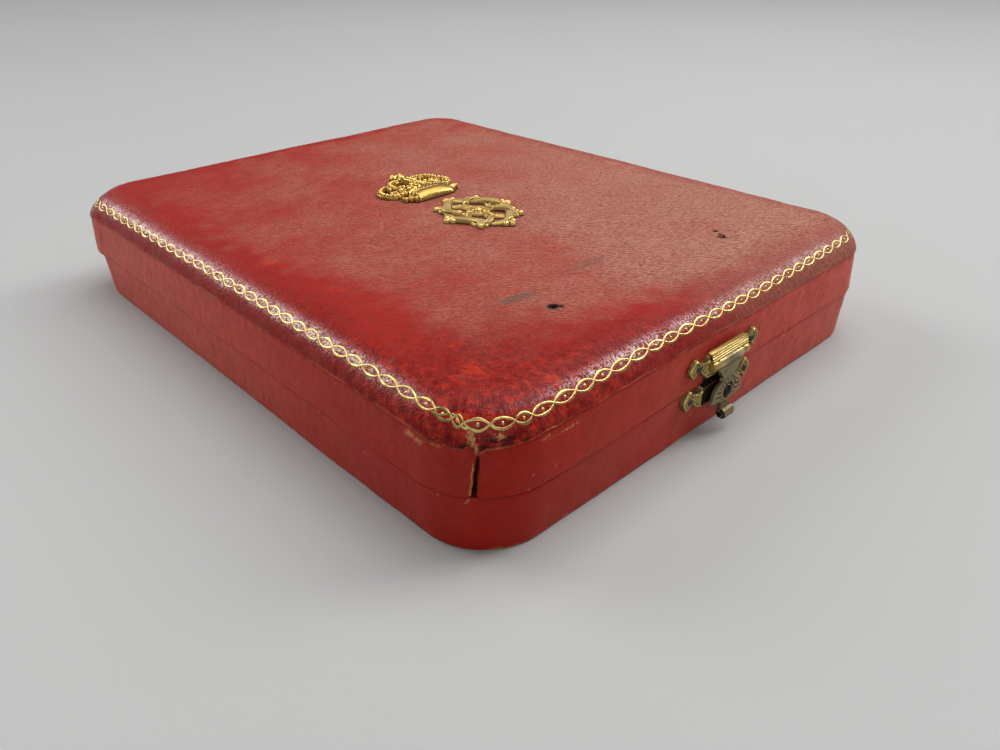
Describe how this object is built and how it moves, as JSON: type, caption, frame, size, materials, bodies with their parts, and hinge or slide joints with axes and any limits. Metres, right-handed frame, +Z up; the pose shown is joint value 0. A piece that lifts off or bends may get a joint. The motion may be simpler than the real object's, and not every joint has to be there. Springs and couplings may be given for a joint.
{
  "type": "presentation case",
  "caption": "Flat rounded leather case for a neck cross, with a hinged lid, relief ornaments on top and a lever clasp in front.",
  "frame": {"origin": "middle of the underside", "axes": "+Z up through the lid, -Y towards the side with the clasp, +Y towards the hinges, +X to the right seen from the clasp"},
  "size_m": [0.126, 0.1627, 0.0297],
  "materials": {
    "leather_side": "worn smooth red leather",
    "leather_top": "straight-grained red leather, faded",
    "gilt_brass": "bright gilt casting",
    "gilt_bronze": "matte gilt, darkened",
    "stamped_brass": "stamped sheet, worn",
    "tarnished_brass": "tarnished, bright at the edges",
    "dark_steel": "dull grey"
  },
  "bodies": {
    "base": {"base_tray": "leather_side", "catch_plate": "stamped_brass", "catch_stud": "dark_steel", "catch_nail_left": "dark_steel", "catch_nail_right": "dark_steel", "hinge_base_left": "stamped_brass", "hinge_base_right": "stamped_brass", "hinge_pin_left": "stamped_brass", "hinge_pin_right": "stamped_brass"},
    "lid": {"lid_frame": "leather_side", "lid_cap": "leather_top", "crown_ornament": "gilt_brass", "scroll_ornament": "gilt_bronze", "clasp_plate": "stamped_brass", "clasp_pin": "stamped_brass", "clasp_nail_left": "dark_steel", "clasp_nail_right": "dark_steel", "hinge_lid_left": "stamped_brass", "hinge_lid_right": "stamped_brass"},
    "lever": {"clasp_lever": "tarnished_brass"}
  },
  "joints": [
    {"name": "lid_hinge", "type": "hinge", "parent": "base", "child": "lid", "pos_m": [0, 0.0798, 0.0112], "axis": [-1, 0, 0], "range_deg": [0, 100]},
    {"name": "lever_hinge", "type": "hinge", "parent": "lid", "child": "lever", "pos_m": [-0.001, -0.07965, 0.0155], "axis": [-1, 0, 0], "range_deg": [0, 90]}
  ]
}
